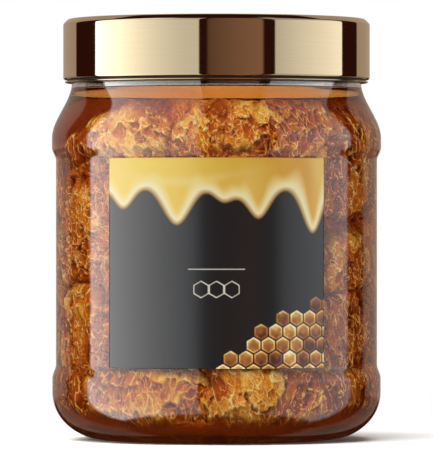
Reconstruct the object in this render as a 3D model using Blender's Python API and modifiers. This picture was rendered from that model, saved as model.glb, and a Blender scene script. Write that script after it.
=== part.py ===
"""A clear round jar filled with honey, under a two-piece screw lid, with a wrap label on its front.

The jar stands on the XY plane with its axis on +Z, and the label faces -Y. Units are metres.
"""

import math

import bpy

# The jar's outer shape, from the table up
FOOT_R = 0.0380
FOOT_INNER_R = 0.0325
PUSH_UP = 0.0016
CORNER_H = 0.0164
BASE_BAND_R = 0.05675
BASE_BAND_TOP = 0.0220
PANEL_R = 0.0555
PANEL_BOTTOM = 0.0254
PANEL_TOP = 0.0972
SHOULDER_BAND_R = 0.0569
SHOULDER_BAND_BOTTOM = 0.1002
SHOULDER_BAND_TOP = 0.1043
NECK_R = 0.0500
NECK_BOTTOM = 0.1235
RIM_TOP = 0.1432
WALL = 0.0013

# Contents
HONEY_LEVEL = 0.1205
GAP = 0.0003

# Lid: a thin metal overshell on a moulded inner cap, whose edge shows below the shell
LID_R = 0.0530
LID_TOP = 0.1453
LID_BOTTOM = 0.1244
LID_FILLET = 0.0019
SHELL_WALL = 0.0004
CAP_BOTTOM = 0.1232
CAP_FILLET = 0.0012

# Label
LABEL_HALF_ANGLE = math.radians(40.3)
LABEL_BOTTOM = 0.0260
LABEL_H = 0.0709
LABEL_WALL = 0.0003

# Smoothness of the turned pieces
TURN_STEPS = 48
LABEL_STEPS = 20
CORNER_STEPS = 7
SHOULDER_STEPS = 8
FILLET_STEPS = 4
PUSH_UP_STEPS = 3
SMOOTH_ANGLE = math.radians(30)
MERGE = 0.00001


def smoothstep(t):
    """An S from 0 to 1 that starts and ends level."""
    return t * t * (3 - 2 * t)


def quarter(centre, radius_x, radius_z, steps):
    """Points of a quarter ellipse, from its top on the axis side out and down to its rightmost point."""
    points = []
    for i in range(steps + 1):
        a = math.pi / 2 * (1 - i / steps)
        points.append((centre[0] + radius_x * math.cos(a), centre[1] + radius_z * math.sin(a)))
    return points


def jar_outside():
    """The jar's outer profile, as (radius, height) points from the rim down to the middle of the base."""
    points = [(NECK_R, RIM_TOP)]
    for i in range(SHOULDER_STEPS + 1):
        t = i / SHOULDER_STEPS
        z = NECK_BOTTOM + (SHOULDER_BAND_TOP - NECK_BOTTOM) * t
        points.append((NECK_R + (SHOULDER_BAND_R - NECK_R) * smoothstep(t), z))
    points.append((SHOULDER_BAND_R, SHOULDER_BAND_BOTTOM))
    points.append((PANEL_R, PANEL_TOP))
    points.append((PANEL_R, PANEL_BOTTOM))
    points.append((BASE_BAND_R, BASE_BAND_TOP))
    corner = quarter((FOOT_R, CORNER_H), BASE_BAND_R - FOOT_R, -CORNER_H, CORNER_STEPS)
    points += reversed(corner)
    for i in range(PUSH_UP_STEPS):
        t = i / PUSH_UP_STEPS
        points.append((FOOT_INNER_R * (1 - t), PUSH_UP * smoothstep(t)))
    points.append((0.0, PUSH_UP))
    return points


def inset(points, distance):
    """The profile moved inwards by distance, each corner along the mean of its two sides' normals."""
    moved = []
    for i, (x, z) in enumerate(points):
        sides = []
        for a, b in ((i - 1, i), (i, i + 1)):
            if a >= 0 and b < len(points):
                dx = points[b][0] - points[a][0]
                dz = points[b][1] - points[a][1]
                length = math.hypot(dx, dz)
                sides.append((dz / length, -dx / length))
        nx = sum(s[0] for s in sides) / len(sides)
        nz = sum(s[1] for s in sides) / len(sides)
        reach = distance / (nx * nx + nz * nz)
        moved.append((x + nx * reach, z + nz * reach))
    return moved


def honey_outside():
    """The honey's profile: level on top, then down the inside of the wall to the middle of the floor."""
    inner = inset(jar_outside(), WALL + GAP)
    below = [p for p in inner if p[1] < HONEY_LEVEL]
    above = [p for p in inner if p[1] >= HONEY_LEVEL][-1]
    first = below[0]
    share = (above[1] - HONEY_LEVEL) / (above[1] - first[1])
    edge = above[0] + (first[0] - above[0]) * share
    below[-1] = (0.0, below[-1][1])
    return [(0.0, HONEY_LEVEL), (edge, HONEY_LEVEL)] + below


def shell_outside():
    """The lid shell's outer profile, from the middle of its top to its lower edge."""
    fillet = quarter((LID_R - LID_FILLET, LID_TOP - LID_FILLET), LID_FILLET, LID_FILLET, FILLET_STEPS)
    return [(0.0, LID_TOP)] + fillet + [(LID_R, LID_BOTTOM)]


def cap_section():
    """The inner cap's whole section: over the top, down the outside, up the inside."""
    outer = LID_R - SHELL_WALL - GAP
    top = LID_TOP - SHELL_WALL - GAP
    inner = NECK_R + GAP
    under = RIM_TOP + GAP
    fillet = quarter((outer - CAP_FILLET, top - CAP_FILLET), CAP_FILLET, CAP_FILLET, FILLET_STEPS)
    skirt = [(outer, CAP_BOTTOM), (inner, CAP_BOTTOM), (inner, under)]
    return [(0.0, top)] + fillet + skirt + [(0.0, under)]


def material(name, colour, roughness, metallic=0.0, transmission=0.0):
    made = bpy.data.materials.new(name)
    made.use_nodes = True
    shader = made.node_tree.nodes["Principled BSDF"]
    shader.inputs["Base Color"].default_value = (*colour, 1.0)
    shader.inputs["Roughness"].default_value = roughness
    shader.inputs["Metallic"].default_value = metallic
    shader.inputs["Transmission Weight"].default_value = transmission
    return made


def turned(name, section, look, collection, angle=math.tau, steps=TURN_STEPS):
    """A profile of (radius, height) points turned about +Z by a Screw modifier."""
    mesh = bpy.data.meshes.new(name)
    edges = [(i, i + 1) for i in range(len(section) - 1)]
    mesh.from_pydata([(x, 0.0, z) for x, z in section], edges, [])
    mesh.materials.append(look)
    made = bpy.data.objects.new(name, mesh)
    collection.objects.link(made)
    screw = made.modifiers.new("Turn", "SCREW")
    screw.axis = "Z"
    screw.angle = angle
    screw.steps = steps
    screw.render_steps = steps
    screw.use_merge_vertices = True
    screw.merge_threshold = MERGE
    screw.use_smooth_shade = True
    return made


def walled(made, thickness, side):
    """Gives an open surface a wall: side -1 grows it inwards, +1 outwards."""
    wall = made.modifiers.new("Wall", "SOLIDIFY")
    wall.thickness = thickness
    wall.offset = side
    wall.use_even_offset = True


def shaded(made):
    """Turns the piece's modifiers into mesh, shaded smooth along its curves and sharp at its corners."""
    graph = bpy.context.evaluated_depsgraph_get()
    mesh = bpy.data.meshes.new_from_object(made.evaluated_get(graph))
    made.modifiers.clear()
    made.data = mesh
    mesh.shade_smooth()
    mesh.set_sharp_from_angle(angle=SMOOTH_ANGLE)


def clear_scene():
    for old in list(bpy.data.objects):
        bpy.data.objects.remove(old, do_unlink=True)


def build():
    clear_scene()
    parts = bpy.data.collections.new("Jar of honeycomb")
    bpy.context.scene.collection.children.link(parts)

    clear = material("clear jar", (0.93, 0.95, 0.95), 0.04, transmission=1.0)
    amber = material("honey", (0.62, 0.27, 0.05), 0.05, transmission=0.6)
    gold = material("gold metal", (0.83, 0.69, 0.42), 0.25, metallic=1.0)
    dark = material("dark cap", (0.03, 0.022, 0.02), 0.4)
    paper = material("label", (0.09, 0.09, 0.095), 0.45)

    walled(turned("jar", jar_outside(), clear, parts), WALL, -1)
    turned("honey", honey_outside(), amber, parts)
    walled(turned("lid_shell", shell_outside(), gold, parts), SHELL_WALL, -1)
    turned("lid_inner", cap_section(), dark, parts)

    strip = [(PANEL_R + GAP, LABEL_BOTTOM + LABEL_H), (PANEL_R + GAP, LABEL_BOTTOM)]
    label = turned("label", strip, paper, parts, 2 * LABEL_HALF_ANGLE, LABEL_STEPS)
    label.rotation_euler.z = -math.pi / 2 - LABEL_HALF_ANGLE
    walled(label, LABEL_WALL, 1)

    for made in parts.objects:
        shaded(made)


build()
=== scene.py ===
# %% [markdown]
# # A jar of honeycomb in honey
#
# The real object is a clear round jar. Chunks of comb are packed against its wall and honey fills the space
# between them. A two-piece screw lid closes it: a pale gold metal shell over a dark moulded cap. A printed
# label sits in the recessed panel at the front. Every shape below is a surface worked out with numpy, as a
# whole array of points, and every finish is made of shader nodes.

# %% Load the frame
import math

import bpy
import numpy as np
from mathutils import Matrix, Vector


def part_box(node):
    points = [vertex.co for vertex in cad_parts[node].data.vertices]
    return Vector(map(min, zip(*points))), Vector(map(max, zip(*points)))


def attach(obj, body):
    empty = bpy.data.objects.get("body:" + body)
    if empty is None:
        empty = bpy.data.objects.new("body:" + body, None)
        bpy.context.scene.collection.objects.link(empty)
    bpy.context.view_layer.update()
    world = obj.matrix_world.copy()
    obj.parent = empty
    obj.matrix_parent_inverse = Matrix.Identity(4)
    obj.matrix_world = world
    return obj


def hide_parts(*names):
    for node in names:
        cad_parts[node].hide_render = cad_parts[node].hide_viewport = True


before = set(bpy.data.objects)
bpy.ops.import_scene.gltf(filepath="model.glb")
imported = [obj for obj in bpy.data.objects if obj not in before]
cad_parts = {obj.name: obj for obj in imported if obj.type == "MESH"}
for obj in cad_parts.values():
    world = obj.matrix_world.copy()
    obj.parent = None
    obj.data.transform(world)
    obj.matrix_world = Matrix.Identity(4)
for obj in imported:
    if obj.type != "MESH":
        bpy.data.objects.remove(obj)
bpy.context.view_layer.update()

MM = 0.001

# %% [markdown]
# ## Camera
#
# A jar this small is usually pictured with a long lens from a couple of metres away, level with its middle,
# so that its sides stay nearly parallel. The lens length follows from how much the picture spans at the axis.

# %% The camera
VIEW_DISTANCE = 1.806
VIEW_HEIGHT = 0.0742
VIEW_SPAN = 0.1557
SENSOR = 36.0

lens = bpy.data.cameras.new("camera")
lens.sensor_width = SENSOR
lens.lens = SENSOR * VIEW_DISTANCE / VIEW_SPAN
camera = bpy.data.objects.new("camera", lens)
bpy.context.scene.collection.objects.link(camera)
camera.location = (0.0, -VIEW_DISTANCE, VIEW_HEIGHT)
camera.rotation_euler = (math.pi / 2, 0.0, 0.0)
bpy.context.scene.camera = camera
bpy.context.scene.view_settings.view_transform = "Standard"
print("lens", round(lens.lens, 1), "mm")

# %% [markdown]
# ## Node helper
#
# Shader trees are wordy, so a small class adds a node, sets its values and links its inputs in one call. Each
# input is a number, a colour or the output of another node.


# %% Node helper
class Tree:
    """Adds nodes to a node tree. An input given as a socket is linked, and any other is set as its value."""

    def __init__(self, tree):
        self.tree = tree
        tree.nodes.clear()

    def node(self, kind, inputs=None, **settings):
        made = self.tree.nodes.new("ShaderNode" + kind)
        for name, value in settings.items():
            setattr(made, name, value)
        for key, value in (inputs or {}).items():
            self.put(made.inputs[key], value)
        return made

    def put(self, socket, value):
        if isinstance(value, bpy.types.NodeSocket):
            self.tree.links.new(value, socket)
        elif isinstance(value, tuple) and len(value) == 3 and socket.type == "RGBA":
            socket.default_value = (*value, 1.0)
        else:
            socket.default_value = value

    def math(self, operation, a, b=0.0, c=0.0):
        return self.node("Math", {0: a, 1: b, 2: c}, operation=operation).outputs[0]

    def ease(self, value, low, high):
        """A smooth 0 to 1 as value goes from low to high."""
        made = self.node("MapRange", {0: value, 1: low, 2: high}, interpolation_type="SMOOTHSTEP")
        return made.outputs[0]

    def mix(self, share, a, b):
        """Colour a where share is 0 and b where it is 1."""
        made = self.node("Mix", {0: share, 6: a, 7: b}, data_type="RGBA")
        return made.outputs[2]

    def ramp(self, value, stops):
        """A colour ramp through (place, colour) stops."""
        made = self.node("ValToRGB", {0: value})
        ramp = made.color_ramp
        while len(ramp.elements) < len(stops):
            ramp.elements.new(0.5)
        for element, (place, colour) in zip(ramp.elements, stops):
            element.position = place
            element.color = (*colour, 1.0)
        return made.outputs[0]

    def noise(self, where, scale, detail, roughness=0.5):
        values = {"Vector": where, "Scale": scale, "Detail": detail, "Roughness": roughness}
        return self.node("TexNoise", values).outputs[0]

    def attribute(self, name):
        """The numbers kept on the mesh under name."""
        return self.node("Attribute", attribute_name=name).outputs["Fac"]

    def grained(self, grain, amount, value):
        """The value with noise about it: value + amount * (grain - 0.5)."""
        return self.math("MULTIPLY_ADD", self.math("SUBTRACT", grain, 0.5), amount, value)

    def place(self, stretch=(1.0, 1.0, 1.0)):
        """Object coordinates, stretched."""
        where = self.node("TexCoord").outputs["Object"]
        return self.node("Mapping", {"Vector": where, "Scale": stretch}).outputs[0]


def new_material(name):
    made = bpy.data.materials.new(name)
    made.use_nodes = True
    return made, Tree(made.node_tree)


# %% [markdown]
# ## Studio light
#
# The jar stands between two tall softboxes, with dark gaps beside them that draw the crisp dark stripes in
# the metal and the glass, and a dim warm fill in front. Instead of lamps, the world itself is painted: its
# brightness is a function of the compass bearing and the height of a direction. That gives clean reflections
# with no lamp in shot. Overhead it is dark, and the camera sees plain white.
#
# Behind the jar a warm backdrop stands on either side. Its lower part shows in reflections only. A line of
# sight that has passed five clear surfaces or more has gone right through the jar, and meets a brighter
# pair of panels there, which light the honey where it is seen through.

# %% The studio
world = bpy.data.worlds.new("studio")
bpy.context.scene.world = world
world.use_nodes = True
sky = Tree(world.node_tree)
direction = sky.node("SeparateXYZ", {0: sky.node("TexCoord").outputs["Generated"]})
east, north, height = direction.outputs
bearing = sky.math("MULTIPLY", sky.math("ARCTAN2", east, sky.math("MULTIPLY", north, -1.0)), 180 / math.pi)


def scaled(colour, share):
    return sky.node("VectorMath", {0: colour, 3: share}, operation="SCALE").outputs[0]


def added(colour, more):
    return sky.node("VectorMath", {0: colour, 1: more}, operation="ADD").outputs[0]


def between(value, low, high, soft):
    """1 where value lies between low and high, with soft edges."""
    rise = sky.ease(value, low - soft, low + soft)
    fall = sky.ease(value, high + soft, high - soft)
    return sky.math("MULTIPLY", rise, fall)


END_SOFT = 0.03
CROWN_FADE = (0.1, 0.65)
SILL_RISE = (-0.015, 0.03)


def panel(start, end, soft, weak, strong, colour, bend=1.0, floor=-0.86, roof=0.94, crown=1.0, sill=1.0):
    """A tall softbox between two bearings. From start to end its strength goes from weak to strong as t^bend.

    crown and sill are the shares of its strength that are left near its top and below the horizon.
    """
    low, high = min(start, end), max(start, end)
    shape = sky.math("MULTIPLY", between(bearing, low, high, soft), between(height, floor, roof, END_SOFT))
    t = sky.node("MapRange", {0: bearing, 1: start, 2: end}).outputs[0]
    strength = sky.math("MULTIPLY_ADD", sky.math("POWER", t, bend), strong - weak, weak)
    fade = sky.math("MULTIPLY_ADD", sky.ease(height, *CROWN_FADE), crown - 1, 1.0)
    rise = sky.math("MULTIPLY_ADD", sky.ease(height, *SILL_RISE), 1 - sill, sill)
    amount = sky.math("MULTIPLY", sky.math("MULTIPLY", shape, sky.math("MULTIPLY", fade, rise)), strength)
    return scaled(colour, amount)


NEUTRAL = (1.0, 1.0, 1.0)
WARM = (1.0, 0.82, 0.66)
FILL_RED = (1.0, 0.58, 0.40)
DARK = (0.025, 0.006, 0.004)
SIDES = (1, -1)
CLEAR_SURFACES = 4.5

light_path = sky.node("LightPath").outputs
mirrored = sky.math("SUBTRACT", 1.0, light_path["Is Transmission Ray"])
through_jar = sky.math("GREATER_THAN", light_path["Transmission Depth"], CLEAR_SURFACES)
panels = [
    panel(-13, -103, 0.6, 0.64, 2.3, NEUTRAL, 1.9, floor=-0.76, crown=0.70, sill=1.06),
    panel(-6.7, 35, 1.5, 0.08, 0.22, FILL_RED, 0.7),
    panel(44.4, 108.6, 0.6, 0.54, 1.16, NEUTRAL, 0.9, floor=-0.76, crown=0.42, sill=0.68),
]
panels += [panel(side * 131, side * 181, 0.8, 0.36, 0.44, WARM, floor=-0.08) for side in SIDES]
for side in SIDES:
    low_backdrop = panel(side * 131, side * 161, 1.5, 0.22, 0.26, WARM, floor=-0.80, roof=-0.08)
    panels.append(scaled(low_backdrop, mirrored))
for side in SIDES:
    behind = panel(side * 118, side * 181, 0.8, 0.35, 1.9, NEUTRAL, 0.5, floor=-0.56, roof=-0.15)
    panels.append(scaled(behind, through_jar))
light = panels[0]
for more in panels[1:] + [DARK]:
    light = added(light, more)
shown = sky.mix(light_path["Is Camera Ray"], light, NEUTRAL)
background = sky.node("Background", {"Color": shown})
sky.node("OutputWorld", {"Surface": background.outputs[0]})
print("studio:", len(panels), "panels")

# %% [markdown]
# ## Floor
#
# The floor is plain and pale. It must come out nearly white and yet take a soft shadow, so it has a wide lamp
# of its own, high on the left, which is linked to the floor alone and leaves the jar's light as it is. Away
# from the jar the floor's paint gives way to a plain white glow. The floor is kept out of reflections and out
# of what the glass refracts.

# %% The floor and its lamp
FLOOR_SIZE = 3.0
PAINT_ENDS, GLOW_STARTS = 0.05, 0.20
AIM = Vector((0, 0, 0.05))

floor_mesh = bpy.data.meshes.new("floor")
corners = [(x * FLOOR_SIZE, y * FLOOR_SIZE, 0.0) for x, y in ((-1, -1), (1, -1), (1, 1), (-1, 1))]
floor_mesh.from_pydata(corners, [], [(0, 1, 2, 3)])
floor = bpy.data.objects.new("floor", floor_mesh)
bpy.context.scene.collection.objects.link(floor)
floor_paint, nodes = new_material("floor_paint")
paint = nodes.node("BsdfDiffuse", {"Color": (0.86, 0.86, 0.86)})
glow = nodes.node("Emission", {"Color": (1.0, 1.0, 1.0), "Strength": 1.0})
reach = nodes.node("VectorMath", {0: nodes.place()}, operation="LENGTH").outputs["Value"]
far = nodes.ease(reach, PAINT_ENDS, GLOW_STARTS)
floor_surface = nodes.node("MixShader", {0: far, 1: paint.outputs[0], 2: glow.outputs[0]})
nodes.node("OutputMaterial", {"Surface": floor_surface.outputs[0]})
floor_mesh.materials.append(floor_paint)
floor.visible_glossy = False
floor.visible_transmission = False


def soft_lamp(name, place, size, power, *lit):
    """A round area lamp at place, turned to the jar, that lights only the given objects."""
    lamp = bpy.data.lights.new(name, "AREA")
    lamp.shape = "DISK"
    lamp.size = size
    lamp.energy = power
    made = bpy.data.objects.new(name, lamp)
    bpy.context.scene.collection.objects.link(made)
    made.location = place
    made.rotation_euler = (AIM - made.location).to_track_quat("-Z", "Y").to_euler()
    made.visible_glossy = False
    made.visible_transmission = False
    receivers = bpy.data.collections.new("lit_by_" + name)
    for piece in lit:
        receivers.objects.link(piece)
    made.light_linking.receiver_collection = receivers


soft_lamp("floor_lamp", (-0.30, -0.40, 1.4), 1.4, 50.0, floor)

# %% [markdown]
# ## Surfaces from grids
#
# Each piece is a grid of points, computed in one go, that may close on itself in either direction. A row of
# points that has shrunk to a single place, such as the middle of a lid, becomes one vertex with a fan of
# triangles, so no seam or pole is left open. A grid may carry fields, which are numbers kept for each point,
# for its material to read.


# %% Grid surfaces
def grid_mesh(name, points, fields=None, wrap_rows=False, wrap_columns=False, poles=(False, False)):
    """A mesh from points of shape (rows, columns, 3). Rows run along the profile and columns across it.

    fields maps a name to an array with one number for each point. wrap_rows and wrap_columns join the last to
    the first. poles says if the first and the last row are single points.
    """
    rows, columns = points.shape[:2]
    index = np.arange(rows * columns).reshape(rows, columns)
    if poles[0]:
        index[0] = index[0, 0]
    if poles[1]:
        index[-1] = index[-1, 0]
    if wrap_rows:
        index = np.vstack([index, index[:1]])
    if wrap_columns:
        index = np.hstack([index, index[:, :1]])
    quads = np.stack([index[:-1, :-1], index[1:, :-1], index[1:, 1:], index[:-1, 1:]], -1).reshape(-1, 4)
    triangles = []
    if poles[0]:
        wide = quads[: index.shape[1] - 1]
        triangles.append(wide[:, [0, 1, 2]])
        quads = quads[index.shape[1] - 1 :]
    if poles[1]:
        wide = quads[-(index.shape[1] - 1) :]
        triangles.append(wide[:, [0, 1, 3]])
        quads = quads[: -(index.shape[1] - 1)]
    triangles = np.vstack(triangles) if triangles else np.zeros((0, 3), int)
    return mesh_of(name, points.reshape(-1, 3), quads, triangles, fields or {})


def mesh_of(name, points, quads, triangles, fields):
    """A smooth mesh from arrays of points, quads and triangles. Points that no face uses are dropped."""
    corners = np.concatenate([quads.reshape(-1), triangles.reshape(-1)])
    used, corners = np.unique(corners, return_inverse=True)
    sizes = np.concatenate([np.full(len(quads), 4), np.full(len(triangles), 3)])
    starts = np.concatenate([[0], np.cumsum(sizes)[:-1]])
    mesh = bpy.data.meshes.new(name)
    mesh.vertices.add(len(used))
    mesh.vertices.foreach_set("co", points[used].astype(np.float32).ravel())
    mesh.loops.add(len(corners))
    mesh.loops.foreach_set("vertex_index", corners.ravel().astype(np.int32))
    mesh.polygons.add(len(sizes))
    mesh.polygons.foreach_set("loop_start", starts.astype(np.int32))
    mesh.update(calc_edges=True)
    mesh.validate()
    mesh.shade_smooth()
    for field, values in fields.items():
        attribute = mesh.attributes.new(field, "FLOAT", "POINT")
        attribute.data.foreach_set("value", values.reshape(-1)[used].astype(np.float32))
    return mesh


def put(name, mesh, material, slot, *replaced):
    """Adds the mesh as a piece that rides on the jar's one body."""
    made = bpy.data.objects.new(name, mesh)
    bpy.context.scene.collection.objects.link(made)
    mesh.materials.append(material)
    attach(made, "root")
    if replaced:
        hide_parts(*replaced)
    print(f"{name}: {len(mesh.polygons)} faces")
    return made


def turned(name, profile, steps, closed=False):
    """The profile, an array of (radius, height) points, turned about +Z. A closed one makes a ring."""
    angle = np.linspace(0.0, math.tau, steps, endpoint=False)
    radius, height = profile[:, 0, None], profile[:, 1, None]
    points = np.stack([radius * np.cos(angle), radius * np.sin(angle), height + 0 * angle], -1)
    on_axis = profile[:, 0] < 1e-9
    return grid_mesh(name, points, wrap_rows=closed, wrap_columns=True, poles=(on_axis[0], on_axis[-1]))


def smoothstep(t):
    """An S from 0 to 1 that starts and ends level."""
    t = np.clip(t, 0.0, 1.0)
    return t * t * (3 - 2 * t)


def rounded(points, radius, steps=6):
    """Cuts each corner of an open outline back by radius and bridges it with a parabola."""
    points = np.asarray(points, float)
    out = [points[:1]]
    share = np.linspace(0.0, 1.0, steps)[:, None]
    for before, corner, after in zip(points[:-2], points[1:-1], points[2:]):
        start = corner + (before - corner) * min(0.5, radius / np.linalg.norm(before - corner))
        end = corner + (after - corner) * min(0.5, radius / np.linalg.norm(after - corner))
        out.append((1 - share) ** 2 * start + 2 * share * (1 - share) * corner + share**2 * end)
    return np.vstack(out + [points[-1:]])


def supported(profile, near=0.0005):
    """Adds a point near each end of every long straight stretch, so that smooth shading leaves it flat."""
    out = [profile[:1]]
    for start, end in zip(profile[:-1], profile[1:]):
        step = (end - start) * near / np.linalg.norm(end - start)
        if np.linalg.norm(end - start) > 6 * near:
            out += [[start + step], [end - step]]
        out.append([end])
    return np.vstack(out)


def inset(profile, distance):
    """The profile moved inwards by distance along its normals."""
    along = np.gradient(profile, axis=0)
    along /= np.linalg.norm(along, axis=1)[:, None]
    return profile + distance * np.stack([along[:, 1], -along[:, 0]], -1)


# %% [markdown]
# ## The jar
#
# The jar is blown clear plastic or glass with a wall of a little over a millimetre. From the top its
# outline is a straight neck, a shoulder in the form of an S, a band, a step into the panel that takes the
# label, a step out to the base band and an elliptical corner down to a resting ring. The same outline,
# moved inwards by the wall, is the inside, so one profile turned about the axis makes the whole glass body.
#
# Clear materials let shadow rays straight through, so that light reaches what is inside.

# %% The jar's outline
JAR_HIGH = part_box("jar")[1]
TURN = 256
WALL = 0.0013
RIM_TOP, NECK_R, NECK_BOTTOM = JAR_HIGH.z, 0.0500, 0.1240
SHOULDER_R, SHOULDER_TOP, SHOULDER_DROP = JAR_HIGH.x, 0.1235, 0.0192
BAND_TOP, BAND_BOTTOM = 0.1043, 0.1002
PANEL_R, PANEL_TOP, PANEL_BOTTOM = 0.0555, 0.0972, 0.0254
BASE_R, BASE_TOP = 0.05675, 0.0220
FOOT_R, FOOT_INNER_R, PUSH_UP = 0.0380, 0.0325, 0.0016
CORNER_H = 0.0164
STEP_SOFT = 0.0008


def jar_outline():
    """(radius, height) down the outside, from the rim to the middle of the base."""
    t = np.linspace(0.0, 1.0, 40)
    shoulder_r = NECK_R + (SHOULDER_R - NECK_R) * smoothstep(t)
    shoulder = np.stack([shoulder_r, SHOULDER_TOP - SHOULDER_DROP * t], -1)
    bands = [(SHOULDER_R, BAND_TOP), (SHOULDER_R, BAND_BOTTOM), (PANEL_R, PANEL_TOP)]
    bands += [(PANEL_R, PANEL_BOTTOM), (BASE_R, BASE_TOP), (BASE_R, CORNER_H)]
    a = np.linspace(0.0, math.pi / 2, 32)[1:]
    corner = np.stack([FOOT_R + (BASE_R - FOOT_R) * np.cos(a), CORNER_H * (1 - np.sin(a))], -1)
    t = np.linspace(0.0, 1.0, 12)
    foot = np.stack([FOOT_INNER_R * (1 - t), PUSH_UP * smoothstep(t)], -1)
    neck = np.stack([NECK_R + 0 * t, np.linspace(RIM_TOP, NECK_BOTTOM, len(t))], -1)
    return np.vstack([neck, shoulder[:-1], supported(rounded(bands, STEP_SOFT)), corner, foot])


def clear_surface(nodes, shadow_tint):
    """A clear and perfectly smooth surface, which only tints the rays that look for shadows."""
    shader = nodes.node("BsdfPrincipled", {
        "Base Color": (1.0, 1.0, 1.0), "Roughness": 0.0, "IOR": 1.5, "Transmission Weight": 1.0,
    })
    through = nodes.node("BsdfTransparent", {"Color": shadow_tint})
    shadow = nodes.node("LightPath").outputs["Is Shadow Ray"]
    return nodes.node("MixShader", {0: shadow, 1: shader.outputs[0], 2: through.outputs[0]}).outputs[0]


outside = jar_outline()
inside = inset(outside, WALL)
inside[-1, 0] = 0.0

jar_glass, nodes = new_material("clear_jar")
nodes.node("OutputMaterial", {"Surface": clear_surface(nodes, (0.97, 0.97, 0.97))})
glass = turned("jar_glass", np.vstack([inside[::-1], outside]), TURN)
put("jar_glass", glass, jar_glass, "clear_jar", "jar")

# %% [markdown]
# ## The honey
#
# Honey fills every space between the chunks of comb up to a level in the neck. It clings to the wall, so its
# edge creeps up a little. Its body reaches a tenth of a millimetre into the glass, because a gap of air there
# would show as a silver skin. Its colour comes from absorption: the longer the way through it, the redder.

# %% The honey
HONEY_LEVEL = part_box("honey")[1].z
HONEY_DENSITY = 38.0
CLING_H, CLING_W = 0.0011, 0.0024
LAP = 0.0001

lining = inset(outside, WALL - LAP)
held = lining[lining[:, 1] < HONEY_LEVEL + CLING_H]
held[-1, 0] = 0.0
edge_r = held[0, 0]
r = np.linspace(0.0, 1.0, 40) ** 0.6 * edge_r
top = np.stack([r, HONEY_LEVEL + CLING_H * np.exp(-(edge_r - r) / CLING_W)], -1)

honey_look, nodes = new_material("honey")
body = nodes.node("VolumeAbsorption", {"Color": (0.75, 0.47, 0.0), "Density": HONEY_DENSITY})
surface = clear_surface(nodes, (1.0, 1.0, 1.0))
nodes.node("OutputMaterial", {"Surface": surface, "Volume": body.outputs[0]})
honey_mesh = turned("honey_body", np.vstack([top[:-1], held]), TURN)
put("honey_body", honey_mesh, honey_look, "honey", "honey")

# %% [markdown]
# ## The film on the neck
#
# Each time the jar is tipped, honey runs up the inside of the neck and leaves a film that shines more than
# the bare glass. It is a thin closed tube, from the honey's edge to under the cap, that reaches into the
# wall.

# %% The film on the neck
FILM_TOP = 0.1236
FILM_WALL = 0.00014
FILM_LIFT, FILM_IN = 0.0005, 0.00005
UPPER_POINTS = 61

upper = lining[:UPPER_POINTS][::-1]
film_z = np.linspace(FILM_TOP, HONEY_LEVEL + FILM_LIFT, 12)
film_r = np.interp(film_z, upper[:, 1], upper[:, 0]) - FILM_IN
film_profile = np.vstack([np.stack([film_r, film_z], -1), np.stack([film_r - FILM_WALL, film_z], -1)[::-1]])

film_look, nodes = new_material("honey_film")
shader = nodes.node("BsdfPrincipled", {
    "Base Color": (1.0, 0.96, 0.90), "Roughness": 0.02, "IOR": 1.5, "Transmission Weight": 1.0,
    "Coat Weight": 1.0, "Coat Roughness": 0.03, "Coat IOR": 2.05,
})
nodes.node("OutputMaterial", {"Surface": shader.outputs[0]})
put("honey_film", turned("honey_film", film_profile, TURN, closed=True), film_look, "honey")

# %% [markdown]
# ## The lid
#
# The shell is thin metal with a rolled edge, coloured pale gold and polished enough to mirror the softboxes
# as crisp stripes. Its upper edge is pressed to a small slanted face, which mirrors the dark overhead as a
# thin line. The dark cap under it shows as a ring below its edge, and has the same slant at its top.

# %% The lid
LID_LOW, LID_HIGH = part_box("lid_shell")
LID_R, LID_TOP, LID_BOTTOM = LID_HIGH.x, LID_HIGH.z, LID_LOW.z
BEVEL, BEVEL_SOFT = 0.0017, 0.0004
EDGE = 0.0030
SHELL_WALL = 0.0004
HEM_H, HEM_IN, HEM_WALL = 0.0004, 0.0003, 0.0005

bevel_corners = [
    (LID_R - EDGE, LID_TOP), (LID_R - BEVEL, LID_TOP), (LID_R, LID_TOP - BEVEL), (LID_R, LID_TOP - EDGE),
]
over = rounded(bevel_corners, BEVEL_SOFT)
side = [(LID_R, LID_BOTTOM + HEM_H), (LID_R - HEM_IN, LID_BOTTOM), (LID_R - HEM_WALL, LID_BOTTOM + HEM_H)]
under = inset(over, SHELL_WALL)[::-1]
top_r = np.linspace(0.0, 1.0, 30)[:-1] * (LID_R - EDGE)
shell_profile = np.vstack([
    np.stack([top_r, LID_TOP + 0 * top_r], -1), over, side, under, [(0.0, LID_TOP - SHELL_WALL)],
])

gold, nodes = new_material("gold_metal")
smudge = nodes.noise(nodes.place((1.0, 1.0, 40.0)), 60.0, 4.0)
shader = nodes.node("BsdfPrincipled", {
    "Base Color": nodes.mix(smudge, (0.83, 0.70, 0.46), (0.77, 0.64, 0.41)),
    "Metallic": 1.0,
    "Roughness": nodes.math("MULTIPLY_ADD", smudge, 0.03, 0.025),
})
nodes.node("OutputMaterial", {"Surface": shader.outputs[0]})
lid_mesh = turned("lid_gold", supported(shell_profile, SHELL_WALL), TURN)
put("lid_gold", lid_mesh, gold, "gold_metal", "lid_shell")

CURL, CURL_R, CURL_Z = 0.00024, 0.05222, 0.12352
a = np.linspace(0.0, math.tau, 20, endpoint=False)
curl_profile = np.stack([CURL_R + CURL * np.sin(a), CURL_Z + CURL * np.cos(a)], -1)
put("lid_curl", turned("lid_curl", curl_profile, TURN, closed=True), gold, "gold_metal")

CAP_LOW, CAP_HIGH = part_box("lid_inner")
CAP_GAP, CAP_SOFT = 0.0003, 0.0002
CAP_R, CAP_TOP, CAP_BOTTOM = CAP_HIGH.x, CAP_HIGH.z, CAP_LOW.z
CAP_IN_R, CAP_UNDER = NECK_R + CAP_GAP, RIM_TOP + CAP_GAP
RING_R, RING_DROP = CAP_R - 0.0006, 0.0002

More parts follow.
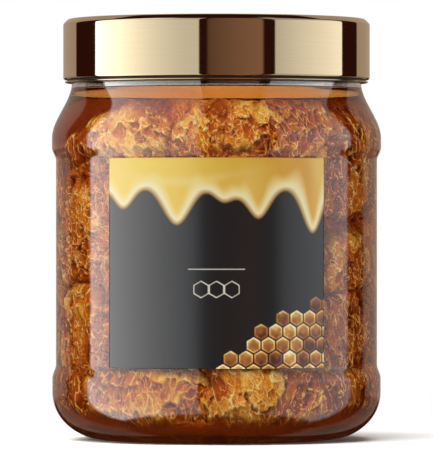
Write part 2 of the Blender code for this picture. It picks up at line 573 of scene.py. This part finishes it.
cap_corners = [
    (0.0, CAP_TOP), (CAP_R - BEVEL, CAP_TOP), (CAP_R, CAP_TOP - BEVEL), (CAP_R, LID_BOTTOM),
    (RING_R, LID_BOTTOM - RING_DROP), (RING_R, CAP_BOTTOM), (CAP_IN_R, CAP_BOTTOM),
    (CAP_IN_R, CAP_UNDER), (0.0, CAP_UNDER),
]
cap_plastic, nodes = new_material("dark_cap")
grain = nodes.noise(nodes.place(), 900.0, 2.0)
shader = nodes.node("BsdfPrincipled", {
    "Base Color": nodes.mix(grain, (0.030, 0.021, 0.018), (0.020, 0.014, 0.012)), "Roughness": 0.3,
})
nodes.node("OutputMaterial", {"Surface": shader.outputs[0]})
cap_mesh = turned("cap_dark", rounded(cap_corners, CAP_SOFT), TURN)
put("cap_dark", cap_mesh, cap_plastic, "dark_cap", "lid_inner")

# %% [markdown]
# ## Noise and cells
#
# Two patterns give the wax its form. Smooth noise comes from random numbers on a lattice, blended between
# their places. Cells come from a staggered lattice of jittered centres: for each point the distances to the
# nearest and the next nearest centre are found, and where they are equal there is a wall between two cells.
# A pattern that goes round the jar repeats after a whole number of lattice steps, so it has no seam.


# %% Noise and cells
def scatter(ix, iy, seed):
    """A repeatable number from 0 to 1 for each whole-number place: its bits multiplied and folded over."""
    h = ix.astype(np.int64) * 374761393 + iy.astype(np.int64) * 668265263 + seed * 1442695041
    h = h & 0xFFFFFFFF
    h = ((h ^ (h >> 13)) * 1274126177) & 0xFFFFFFFF
    return ((h ^ (h >> 16)) & 0xFFFFFF) / float(0xFFFFFF)


def waves(x, y, seed, around=10**6):
    """Smooth noise from -1 to 1: the numbers at a point's four lattice neighbours, blended by smoothstep."""
    ix, iy = np.floor(x), np.floor(y)
    fx, fy = smoothstep(x - ix), smoothstep(y - iy)
    left, right = np.mod(ix, around), np.mod(ix + 1, around)
    below = scatter(left, iy, seed) * (1 - fx) + scatter(right, iy, seed) * fx
    above = scatter(left, iy + 1, seed) * (1 - fx) + scatter(right, iy + 1, seed) * fx
    return 2 * (below * (1 - fy) + above * fy) - 1


def rough(x, y, seed, octaves=3, around=10**6):
    """Noise with finer noise on it: each octave is half as wide and half as strong."""
    total = 0 * x
    for octave in range(octaves):
        scale = 2**octave
        total = total + waves(x * scale, y * scale, seed + 31 * octave, around * scale) / scale
    return total


def cells(x, y, jitter, seed):
    """Distance to the wall (0 on it, about 1 at a cell's middle) and the cell's own random number."""
    row = np.floor(y / 0.866)
    first, second, own = np.full(x.shape, 9.0), np.full(x.shape, 9.0), np.zeros(x.shape)
    for drow in (-1, 0, 1, 2):
        r = row + drow
        stagger = 0.5 * np.mod(r, 2)
        column = np.floor(x - stagger)
        for dcolumn in (-1, 0, 1, 2):
            c = column + dcolumn
            cx = c + stagger + jitter * (scatter(c, r, seed) - 0.5)
            cy = 0.866 * r + jitter * (scatter(c, r, seed + 7) - 0.5)
            distance = np.hypot(x - cx, y - cy)
            nearer = distance < first
            second = np.where(nearer, first, np.minimum(second, distance))
            own = np.where(nearer, scatter(c, r, seed + 13), own)
            first = np.minimum(first, distance)
    return second - first, own


# %% [markdown]
# ## The label
#
# The label is a sheet of coated paper on the panel's front, charcoal with a soft sheen. Its print is a
# border of dripping honey, a cluster of comb cells and a small ornament. Print is flat, so its shapes are
# fields over the sheet: each is worked out as a distance in millimetres to the edge of a shape, kept on the
# mesh as an attribute, and the material turns distance into colour. An edge drawn from a distance stays
# crisp between the mesh's points.

# %% The label's shapes
LABEL_LOW, LABEL_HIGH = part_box("label")
LABEL_R = -LABEL_LOW.y
LABEL_HALF = math.radians(40.3)
LABEL_WALL = 0.0003
LABEL_W = 2 * LABEL_HALF * LABEL_R / MM
LABEL_H = (LABEL_HIGH.z - LABEL_LOW.z) / MM
DRIPS = (  # place, width and length, in shares
    (0.08, 0.050, 0.10), (0.33, 0.065, 0.21), (0.53, 0.045, 0.08), (0.68, 0.050, 0.14), (0.94, 0.055, 0.24),
)
RIM_DROP = 0.13
CLUSTER_CELL, CLUSTER_LEFT = 5.2, 0.48
ROW = 0.866
RULE_AT, RULE_HALF = 0.53, 9.5
RINGS_AT, RING_SPACE, RING_SIZE = 0.625, 5.2, 2.4


def drip_border(x, y):
    """Distance in mm into the honey from its lower edge: how far a point is above it, over the edge's slope.

    The edge hangs 0.13 of the label's height below its top, give or take a low wave, plus a bell curve,
    length * exp(-((u - middle) / width)^2 / 2), for each drip.
    """
    u = x / LABEL_W
    hang, slope = RIM_DROP + 0.02 * np.cos(u * 9), 0 * u
    for middle, width, length in DRIPS:
        bell = length * np.exp(-(((u - middle) / width) ** 2) / 2)
        hang = hang + bell
        slope = slope - bell * (u - middle) / width**2 * LABEL_H / LABEL_W
    return (hang * LABEL_H - y) / np.sqrt(1 + slope**2)


def highlight(x, y):
    """Strength of a soft wavy light along the honey, strongest over the long drip left of the middle."""
    u = x / LABEL_W
    wave = (0.085 + 0.03 * np.cos((u - 0.33) * 7)) * LABEL_H
    return np.exp(-(((y - wave) / 1.5) ** 2)) * np.exp(-(((u - 0.33) / 0.24) ** 2))


def comb_cluster(x, y):
    """Distance in mm into a cluster of six-sided cells at the lower right, and each point's tone from 0 to 1.

    A place's cell is the nearest centre of a staggered lattice. Its distance from the wall is the cell's half
    width less max(|dx|, |dx| / 2 + 0.866 |dy|). A cell belongs to the cluster if its centre lies below a line
    that climbs to the right. Its tone is its own number, paler at its top and along its wall.
    """
    across, down = x / CLUSTER_CELL, y / CLUSTER_CELL
    row = np.floor(down / ROW)
    near = np.full(x.shape, 9.0)
    off_x, off_y, own, centre_x, centre_y = [0 * x for _ in range(5)]
    for r in (row, row + 1):
        stagger = 0.5 * np.mod(r, 2)
        column = np.round(across - stagger)
        dx, dy = across - column - stagger, down - ROW * r
        nearer = np.hypot(dx, dy) < near
        near = np.where(nearer, np.hypot(dx, dy), near)
        off_x, off_y = np.where(nearer, dx, off_x), np.where(nearer, dy, off_y)
        centre_x = np.where(nearer, column + stagger, centre_x)
        centre_y = np.where(nearer, ROW * r, centre_y)
        own = np.where(nearer, scatter(column, r, 5), own)
    wide, tall = np.abs(off_x), np.abs(off_y)
    inward = CLUSTER_CELL * (0.5 - np.maximum(wide, 0.5 * wide + ROW * tall))
    line = 0.64 + 0.62 * (1 - centre_x * CLUSTER_CELL / LABEL_W) + 0.05 * (own - 0.5)
    below_line = centre_y * CLUSTER_CELL / LABEL_H > line
    belongs = below_line & (centre_x * CLUSTER_CELL / LABEL_W > CLUSTER_LEFT)
    rim = np.exp(-(((inward - 0.5) / 0.28) ** 2))
    tone = 0.24 + 0.50 * own - 0.45 * off_y + 0.30 * rim + 0.10 * rough(x / 1.4, y / 1.4, 45, 2)
    return np.where(belongs, inward, -inward - 0.3), np.clip(tone, 0.0, 1.0)


def hexagon(x, y, middle_x, middle_y, radius):
    """Distance in mm to the outline of a six-sided ring."""
    ax, ay = np.abs(x - middle_x), np.abs(y - middle_y)
    return np.abs(np.maximum(ax, 0.5 * ax + ROW * ay) - radius)


def ornament(x, y):
    """Distance in mm to a thin rule, and to a row of three small comb cells below it."""
    middle = 0.5 * LABEL_W
    marks = [np.maximum(np.abs(y - RULE_AT * LABEL_H), np.abs(x - middle) - RULE_HALF)]
    for step in (-1, 0, 1):
        marks.append(hexagon(x, y, middle + step * RING_SPACE, RINGS_AT * LABEL_H, RING_SIZE))
    return np.min(marks, axis=0)


# %% The label's sheet
LABEL_COLUMNS, LABEL_ROWS = 220, 196
x = np.linspace(0.0, LABEL_W, LABEL_COLUMNS)[None, :]
y = np.linspace(0.0, LABEL_H, LABEL_ROWS)[:, None]
x, y = x + 0 * y, y + 0 * x
angle = (x / LABEL_W * 2 - 1) * LABEL_HALF
sheet = np.stack([LABEL_R * np.sin(angle), -LABEL_R * np.cos(angle), LABEL_HIGH.z - y * MM], -1)
in_cluster, cell_tone = comb_cluster(x, y)
print_fields = {
    "drip": drip_border(x, y), "light": highlight(x, y), "cluster": in_cluster, "cluster_tone": cell_tone,
    "mark": ornament(x, y),
}
sheet_mesh = grid_mesh("label_sheet", sheet, print_fields)

label_paper, nodes = new_material("label")
drip, shine, cluster, cluster_tone, mark = [nodes.attribute(field) for field in print_fields]
fibre = nodes.noise(nodes.place(), 500.0, 4.0)
ground = nodes.mix(fibre, (0.0005, 0.005, 0.008), (0.002, 0.007, 0.011))
sideways = nodes.node("SeparateXYZ", {0: nodes.place()}).outputs[0]
# Painted sheen: the ground is painted lighter towards the left edge, where the left softbox shines.
ground = nodes.mix(nodes.ease(sideways, -0.002, -0.042), ground, (0.058, 0.060, 0.062))
glow = nodes.noise(nodes.place((1.0, 1.0, 0.6)), 40.0, 1.0)
to_right = nodes.ease(sideways, -0.030, 0.034)
amber = nodes.mix(to_right, (0.98, 0.72, 0.10), (0.74, 0.36, 0.008))
amber = nodes.mix(nodes.math("MULTIPLY", nodes.ease(glow, 0.45, 0.75), 0.6), amber, (0.98, 0.72, 0.20))
amber = nodes.mix(nodes.math("MULTIPLY", shine, 0.55), amber, (1.0, 0.80, 0.28))
lip = nodes.ramp(nodes.math("DIVIDE", drip, 6.0), [
    (0.0, (0.20, 0.10, 0.025)), (0.10, (0.58, 0.40, 0.14)),
    (0.27, (0.99, 0.90, 0.55)), (0.55, (0.99, 0.82, 0.32)),
])
honey_print = nodes.mix(nodes.ease(drip, 2.0, 6.0), lip, amber)
cell_print = nodes.ramp(nodes.grained(fibre, 0.3, cluster_tone), [
    (0.0, (0.012, 0.003, 0.001)), (0.25, (0.09, 0.018, 0.003)), (0.45, (0.26, 0.070, 0.008)),
    (0.65, (0.50, 0.19, 0.02)), (0.85, (0.85, 0.55, 0.14)), (1.0, (1.0, 0.90, 0.55)),
])
print_colour = nodes.mix(nodes.ease(drip, -0.45, 0.15), ground, honey_print)
print_colour = nodes.mix(nodes.ease(cluster, 0.12, 0.36), print_colour, cell_print)
print_colour = nodes.mix(nodes.ease(mark, 0.26, 0.14), print_colour, (0.72, 0.68, 0.58))
bump = nodes.node("Bump", {"Height": fibre, "Strength": 0.15, "Distance": 0.0001})
shader = nodes.node("BsdfPrincipled", {
    "Base Color": print_colour, "Roughness": 0.45, "Specular IOR Level": 0.15, "Normal": bump.outputs[0],
    "Coat Weight": 1.0, "Coat Roughness": 0.26, "Coat IOR": 1.85,
})
nodes.node("OutputMaterial", {"Surface": shader.outputs[0]})
label = put("label_sheet", sheet_mesh, label_paper, "label", "label")
thick = label.modifiers.new("paper", "SOLIDIFY")
thick.thickness = LABEL_WALL
thick.offset = -1.0

# %% [markdown]
# ## The comb
#
# Bees build comb as a sheet of six-sided wax tubes, about five millimetres wide and a centimetre deep on each
# side. Here it was cut into chunks that lie every way up, so some show their open cells and others show tubes
# cut along their length, and the torn walls stand out as pale ragged ridges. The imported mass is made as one
# relief that faces the glass all round: each chunk is a rounded bump, the nearest bump wins, and a lumpy core
# shows in the gaps. The cells are then pressed into each bump in its own direction. Thin folds of wax, which
# are finer than the mesh, are kept as a distance and drawn by the material.

# %% Where the chunks lie
COMB_CLEAR = 0.0001
WALL_AT = inset(outside, WALL + COMB_CLEAR)
WALL_AT = WALL_AT[np.argsort(WALL_AT[:, 1])] / MM
SPREAD = 54.0
CELL = 4.2
DROP = 12.0
CHUNKS = [  # bearing from the front in degrees, middle height, half width, half height, lean, stretch, gold
    (-36, 105.0, 15.5, 9.0, 0.5, 1.2, 0.88), (-7, 104.0, 8.0, 7.5, 0.1, 1.3, 0.95),
    (12, 107.0, 9.0, 8.0, -0.4, 1.0, 0.80), (22, 101.0, 11.0, 7.0, 0.3, 1.1, 0.60),
    (36, 105.0, 10.0, 7.5, -0.2, 1.4, 0.62), (52, 103.0, 10.0, 8.0, 0.4, 1.6, 0.45),
    (72, 100.5, 12.0, 6.0, 0.1, 2.0, 0.35), (-62, 101.5, 11.0, 5.8, -0.4, 2.2, 0.22),
    (-63, 71.0, 17.0, 18.0, 0.3, 1.2, 0.64), (-62, 37.0, 16.5, 14.0, -0.2, 1.5, 0.68),
    (60, 88.5, 18.0, 11.0, 0.2, 1.5, 0.40), (58, 60.0, 17.0, 8.5, -0.3, 1.3, 0.62),
    (60, 38.5, 17.0, 13.5, 0.1, 1.7, 0.46), (-31, 16.0, 24.0, 10.5, -0.3, 1.3, 0.68),
    (9, 16.0, 14.0, 10.5, 0.3, 1.5, 0.86), (38, 15.5, 16.0, 10.0, -0.2, 1.6, 0.56),
    (-76, 16.5, 19.0, 10.0, 0.2, 2.0, 0.28), (72, 16.5, 17.0, 10.0, -0.1, 1.8, 0.35),
]
TIERS = (  # middle height, half height and the first bearing of the chunks round the back
    (16.0, 10.0, 94), (38.0, 13.0, 88), (62.0, 12.0, 88), (86.0, 12.5, 86),
)
TIER_COUNT = 7
draw = np.random.default_rng(11)
for middle, half_h, opening in TIERS:
    gap = (360 - 2 * opening) / TIER_COUNT
    for k in range(TIER_COUNT):
        CHUNKS.append((
            opening + gap * (k + 0.5 + draw.uniform(-0.15, 0.15)), middle + draw.uniform(-2.5, 2.5),
            0.5 * gap * math.radians(SPREAD) * draw.uniform(0.95, 1.15), half_h * draw.uniform(0.85, 1.05),
            draw.uniform(-0.5, 0.5), draw.choice([1.0, 1.3, 1.8]), draw.uniform(0.3, 0.66),
        ))
for centre in (-30, 0, 30):
    for middle in (38.0, 62.0, 86.0):
        gold = 0.76 if centre < 0 else 0.68
        CHUNKS.append((centre, middle, 14.0, 12.5, draw.uniform(-0.4, 0.4), 1.2, gold))
print(len(CHUNKS), "chunks")


# %% The comb's form
def mass_outline(bearing, z):
    """Depth of the chunks' skin in mm, each point's chunk and place in it, and how much of the core shows.

    The place is first warped by noise. A chunk's reach is q = (|x|^2.6 + |y|^2.6)^(1/2.6) of the place over
    its half sizes. Its skin falls away as a quarter circle, DROP * (1 - (1 - t^2)^0.5) with t from 0 at q =
    0.75 to 1 at q = 1.2, and the shallowest skin wins. Where all skins lie deeper than the lumpy core, the
    core shows.
    """
    turns = bearing / math.tau
    hollow = smoothstep((z - 104) / 5) * smoothstep((np.abs(bearing) - 0.75) / 0.3)
    shift_s = 3.6 * rough(turns * 34, z / 10, 1, 4, 34)
    shift_z = 3.4 * rough(turns * 34, z / 10, 2, 4, 34)
    s = SPREAD * bearing
    depth = np.full(s.shape, 99.0)
    lie = np.zeros(s.shape + (5,))
    for k, (centre, middle, half_w, half_h, lean, stretch, gold) in enumerate(CHUNKS):
        ds = s - SPREAD * math.radians(centre)
        ds = np.mod(ds + SPREAD * math.pi, SPREAD * math.tau) - SPREAD * math.pi
        dz = z - middle
        wide, tall = np.abs((ds + shift_s) / half_w), np.abs((dz + shift_z) / half_h)
        reach = (wide**2.6 + tall**2.6) ** (1 / 2.6)
        t = np.clip((reach - 0.75) / 0.45, 0.0, 1.0)
        skin = DROP * (1 - np.sqrt(1 - t**2)) + 1.5 * (k * 0.37 % 1)
        nearer = skin < depth
        x = ds * math.cos(lean) + dz * math.sin(lean)
        y = (dz * math.cos(lean) - ds * math.sin(lean)) / stretch
        lie = np.where(nearer[..., None], np.stack([x, y, 0 * x + k, 0 * x + gold, t], -1), lie)
        depth = np.where(nearer, skin, depth)
    pocket = np.clip(0.5 + 1.3 * rough(turns * 17, z / 20, 6, 2, 17) + hollow, 0.0, 1.0)
    core = 3.6 + 4.8 * pocket + 1.5 * rough(turns * 40, z / 8.5, 5, 3, 40)
    cored = smoothstep((depth - core + 1.0) / 2.0) * (0.4 + 0.6 * pocket)
    return np.minimum(depth, core), lie, cored


def wax_sheet(x, y, size, seed, torn):
    """Relief in mm, bare wall and gold of one layer of comb, with cells of a given size.

    The cells have thin walls. Those with a high number of their own are open, with a deep smooth floor, and
    the rest are full of crumbled wax, a second set of small cells. Ridged noise gives torn lines, (1 -
    |n|)^12, and long wisps, (1 - |n|)^14. A third, turned set of cells gives thin walls of film.
    """
    x = x + 1.1 * rough(x / 5, y / 5, seed + 1, 3) + 0.40 * waves(x / 1.2, y / 1.2, seed + 3)
    y = y + 1.1 * rough(x / 5, y / 5, seed + 2, 3) + 0.40 * waves(x / 1.2, y / 1.2, seed + 4)
    wall, own = cells(x / size, y / size, 0.75, seed + 5)
    ridge = np.exp(-((wall / (0.040 + 0.045 * torn)) ** 2))
    inside_cell = smoothstep((wall - 0.04) / 0.25)
    opened = smoothstep((own - 0.52) / 0.15) * inside_cell
    crumb_wall, crumb = cells(x / 1.3, y / 1.3, 0.9, seed + 9)
    crumb_ridge = np.exp(-((crumb_wall / 0.12) ** 2))
    line = np.clip(1 - np.abs(rough(x / 2.0, y / 3.2, seed + 8, 3)), 0.0, 1.0) ** 12
    film_wall, _ = cells(0.74 * x / size + 0.5 * y / size, 0.74 * y / size - 0.5 * x / size, 1.0, seed + 17)
    film_ridge = np.exp(-((film_wall / 0.05) ** 2))
    wisp = np.clip(1 - np.abs(rough(x / 1.0, y / 4.0, seed + 21, 2)), 0.0, 1.0) ** 14
    thin = np.maximum(film_ridge, 0.8 * wisp * smoothstep(waves(x / 5, y / 5, seed + 22) / 0.3))
    relief = inside_cell * (0.3 + 1.8 * own * opened) + 0.5 * (1 - ridge * torn)
    relief = relief - (1 - opened) * (0.35 * crumb_ridge + 0.5 * crumb) - 0.45 * line * torn
    bare = 0.60 * ridge * torn + (1 - opened) * 0.25 * crumb_ridge * torn + line * torn * (0.7 - 0.4 * opened)
    bare = np.maximum(bare, 0.5 * thin * (0.55 + 0.45 * torn))
    gold = 0.16 * (1 - opened) * (crumb - 0.4) - opened * (0.08 + 0.16 * own)
    gold = gold + 0.10 * waves(x / 0.8, y / 0.8, seed)
    return relief, bare, gold


def fold_distance(x, y, seed, width, tall):
    """Distance in mm to the nearest fold of the wax, with a sign for its side: noise over its own slope."""
    step = 0.05
    here = rough(x / width, y / tall, seed, 2)
    slope_x = rough((x + step) / width, y / tall, seed, 2) - here
    slope_y = rough(x / width, (y + step) / tall, seed, 2) - here
    return here / np.maximum(np.hypot(slope_x, slope_y) / step, 0.3 / width)


def comb_relief(depth, lie, cored):
    """The full depth in mm, and the wax's bare wall, gold and folds, from each point's place in its chunk.

    A front sheet lies over a deeper, darker one wherever rough noise m is above zero, so it ends in a
    ragged torn edge with a pale rim, exp(-(m / 0.05)^2). Each fold stands out a little, by exp(-(distance /
    0.3)^2).
    """
    x, y, k, gold, t = np.moveaxis(lie, -1, 0)
    seed = (k * 17).astype(np.int64) + 100
    torn = np.clip(0.45 + 0.9 * rough(x / 3.2, y / 3.2, seed + 6, 4), 0.0, 1.0)
    front, front_bare, front_gold = wax_sheet(x, y, CELL, seed, torn)
    back, back_bare, back_gold = wax_sheet(x * 0.8 - y * 0.6, x * 0.6 + y * 0.8, 0.85 * CELL, seed + 50, torn)
    tear = rough(x / 6.5, y / 6.5, seed + 20, 5) + 0.15
    over = smoothstep((tear + 0.04) / 0.08)
    rim = np.exp(-((tear / 0.05) ** 2)) * torn
    cloud = rough(x / 9, y / 9, seed + 12, 4)
    relief = over * front + (1 - over) * (1.4 + 0.8 * back) - 0.3 * rim
    # Painted shade: the deeper sheet is dimmer and less gold, and chunks turn less gold towards their edges.
    bare = over * front_bare + (1 - over) * 0.55 * back_bare + 0.45 * rim
    gold = gold + 0.26 * cloud + over * front_gold + (1 - over) * (back_gold - 0.18) - 0.1 * t**2
    cored = 0.7 * cored
    fold = fold_distance(x, y, seed + 61, 2.5, 3.4)
    strand = fold_distance(x * 0.7 + y * 0.7, y * 0.7 - x * 0.7, seed + 71, 2.0, 4.2)
    relief = relief - 0.3 * np.exp(-((fold / 0.3) ** 2)) - 0.2 * np.exp(-((strand / 0.3) ** 2))
    full = depth + np.clip(relief, -0.3, 6.0) * (1 - 0.3 * cored)
    bare = np.clip(bare * (1 - cored), 0.0, 1.0)
    gold = np.clip(gold * (1 - cored) + 0.24 * cored, 0.0, 1.0)
    return full, bare, gold, fold, strand


# %% The wax
wax, nodes = new_material("beeswax")
bare, gold_share, whole = [nodes.attribute(field) for field in ("bare", "gold", "whole")]
grain = nodes.noise(nodes.place(), 1600.0, 4.0, 0.75)
# Painted glints: tiny pale dots from thresholded noise stand in for specular glints on the wax.
painted_glint = nodes.ease(nodes.noise(nodes.place(), 1500.0, 1.0), 0.70, 0.78)
patch = nodes.ramp(nodes.grained(grain, 1.1, gold_share), [
    (0.0, (0.20, 0.024, 0.001)), (0.3, (0.38, 0.060, 0.002)), (0.55, (0.53, 0.120, 0.006)),
    (0.8, (0.72, 0.26, 0.018)), (1.0, (0.88, 0.50, 0.08)),
])
edge = nodes.mix(gold_share, (0.94, 0.40, 0.06), (1.0, 0.78, 0.30))
crisp = nodes.ease(nodes.grained(grain, 0.9, bare), 0.22, 0.78)
worn = nodes.ease(nodes.noise(nodes.place(), 420.0, 2.0), 0.40, 0.54)
lines = []
for field, thickness in (("fold", 0.24), ("strand", 0.19)):
    away = nodes.math("ABSOLUTE", nodes.attribute(field))
    lines.append(nodes.ease(away, thickness, 0.25 * thickness))
crowded = nodes.ease(nodes.noise(nodes.place(), 110.0, 2.0), 0.38, 0.56)
crowded = nodes.math("MULTIPLY_ADD", crowded, 0.35, 0.70)
threads = nodes.math("MULTIPLY", nodes.math("MAXIMUM", *lines), worn)
threads = nodes.math("MULTIPLY", threads, nodes.math("MULTIPLY", whole, crowded))
# The pale share holds the bare walls and the painted glints.
pale = nodes.math("MAXIMUM", crisp, nodes.math("MULTIPLY", painted_glint, nodes.math("MULTIPLY", whole, 0.8)))
colour = nodes.mix(nodes.math("MAXIMUM", pale, threads), patch, edge)
bump = nodes.node("Bump", {"Height": grain, "Strength": 0.6, "Distance": 0.0004})
shader = nodes.node("BsdfPrincipled", {
    "Base Color": colour, "Roughness": 0.4, "Specular IOR Level": 0.2, "Normal": bump.outputs[0],
    "Subsurface Weight": 0.25, "Subsurface Radius": (1.0, 0.45, 0.15), "Subsurface Scale": 0.002,
})
nodes.node("OutputMaterial", {"Surface": shader.outputs[0]})

# %% [markdown]
# ## Laying out the comb
#
# The relief is now laid out over the whole inside of the jar. At the bottom it gives way to a smooth skin,
# and a smooth sheet lies over the left shoulder; both are coloured dark brown as painted shade. In front
# the mass stands high in the neck; towards the back its crown is lower, which leaves a way for light through
# the honey above it. Near the crown the wax has painted light in front and painted shade at the sides, and
# near the base it is painted a little lighter. It is cut into five courses, each closed at its top and
# bottom, so that no piece is too heavy.

# %% Lay out the comb
AROUND, UP = 1140, 381
CROWN, CROWN_DROP = 115.5, 13.5
BOTTOM, BOTTOM_RISE = 4.6, 3.0
GLASS_GAP = 0.15


def near_crown(reach):
    """An S from 0 to 1 over the last reach mm below the crown."""
    return smoothstep((z - crown + reach) / reach)


bearing = np.linspace(-math.pi, math.pi, AROUND, endpoint=False)[None, :]
turns = bearing / math.tau
share = np.linspace(1.0, 0.0, UP)[:, None]
ragged = waves(turns * 60, 0 * bearing, 8, 60) + waves(turns * 150, 0 * bearing, 9, 150)
crown = CROWN - CROWN_DROP * smoothstep((np.abs(bearing) - 1.0) / 1.3) + 0.25 * ragged
bottom = BOTTOM + 0.2 * ragged + BOTTOM_RISE * smoothstep((np.abs(bearing) - 0.6) / 0.4)
z = bottom + (crown - bottom) * share
skin, lie, cored = mass_outline(bearing + 0 * z, z)

near_base = smoothstep((17.0 - z) / 6.0)
high_up = smoothstep((z - 94.0) / 5.0)
flatter = 1 - 0.35 * near_base - 0.5 * high_up
depth, bare_at, gold_at, fold_at, strand_at = comb_relief(skin * flatter, lie, cored)

shoulder_edge = 100.5 + 22.0 * np.clip(bearing + 1.25, 0.0, 0.9)
shoulder_edge = shoulder_edge + 1.2 * rough(turns * 70, z / 5, 81, 2, 70)
# Where the smooth skin and sheet lie; below they are coloured dark, as painted shade.
smooth_skin_and_shade = np.maximum(
    smoothstep((bottom + 5.6 + 0.5 * ragged - z) / 3.0),
    smoothstep((z - shoulder_edge) / 2.0) * smoothstep((-0.60 - bearing) / 0.15),
)
to_side = smoothstep((np.abs(bearing) - 0.25) / 0.25)
# Painted shade: the pale walls and glints fade towards the crown.
bare_at = bare_at * (1 - 0.4 * near_crown(5.0)) * (1 - smooth_skin_and_shade)
whole_at = (1 - smooth_skin_and_shade) * (1 - 0.6 * cored) * (1 - 0.6 * near_crown(5.0))
# Painted light and shade: the gold is raised in front of the crown and lowered at its sides.
gold_at = gold_at + (0.14 - 0.32 * to_side) * near_crown(6.0)
# Painted light near the base; painted shade on the smooth skin and sheet, darker high up.
gold_at = np.clip(gold_at + 0.10 * near_base, 0.0, 1.0) * (1 - smooth_skin_and_shade) + (0.16 - 0.10 * high_up) * smooth_skin_and_shade
depth = depth + 1.0 * near_crown(2.5) ** 2
smooth_skin_depth = 3.4 + 3.0 * high_up + 0.4 * rough(turns * 50, z / 7, 71, 2, 50)
depth = depth * (1 - smooth_skin_and_shade) + smooth_skin_depth * smooth_skin_and_shade
radius = np.interp(z, WALL_AT[:, 1], WALL_AT[:, 0]) - GLASS_GAP - np.clip(depth, 0.0, 20.0)
print("comb depth", round(float(depth.mean()), 2), "mm; gold", round(float(gold_at.mean()), 2))

# %% Cut it into courses
COURSES = 5
BOWL = 5.0
CAP_RINGS = np.array([0.0, 0.3, 0.6, 0.85, 0.95])[:, None]
comb_fields = {"bare": bare_at, "gold": gold_at, "fold": fold_at, "strand": strand_at, "whole": whole_at}


def cap_heights(edge):
    """Heights of a course's end, from its middle out: the edge's own, evened out towards their mean."""
    return (edge - edge.mean()) * CAP_RINGS + edge.mean()


comb = []
cuts = np.linspace(0, UP - 1, COURSES + 1).astype(int)
extra = len(CAP_RINGS)
for course in range(COURSES):
    rows = slice(cuts[course], cuts[course + 1] + 1)
    r, h = radius[rows], z[rows]
    sunk = BOWL * (1 - CAP_RINGS**4) if course == 0 else 0
    h = np.vstack([cap_heights(h[:1]) - sunk, h, cap_heights(h[-1:])[::-1]])
    r = np.vstack([CAP_RINGS * r[:1], r, CAP_RINGS[::-1] * r[-1:]])
    values = {}
    for field, value in comb_fields.items():
        values[field] = np.pad(value[rows], ((extra, extra), (0, 0)), mode="edge")
    for ends in (slice(0, extra), slice(-extra, None)):
        values["bare"][ends] = 0.0
        values["whole"][ends] = 0.3
        cloud = rough(r[ends] * np.sin(bearing) / 9, r[ends] * np.cos(bearing) / 9, 77, 3)
        values["gold"][ends] = 0.35 + 0.25 * cloud
    points = np.stack([r * np.sin(bearing), -r * np.cos(bearing), h], -1) * MM
    name = f"comb_course_{course + 1}"
    mesh = grid_mesh(name, points, values, wrap_columns=True, poles=(True, True))
    mesh.set_sharp_from_angle(angle=math.radians(80))
    comb.append(put(name, mesh, wax, "beeswax"))

# %% [markdown]
# ## Lamps for the comb
#
# Four soft lamps light the comb alone, from both sides, the front and the back. The glass, the honey and
# the lid don't take their light, so they keep the studio's reflections.

# %% Light the comb
for side, place, size, power in (
    ("left", (-0.45, -1.0, 0.8), 1.0, 12.5),
    ("right", (0.8, -0.8, 0.35), 1.0, 6.0),
    ("front", (0.0, -1.4, 0.15), 0.8, 6.0),
    ("back", (0.25, 1.3, 0.5), 1.0, 12.0),
):
    soft_lamp("comb_lamp_" + side, place, size, power, *comb)
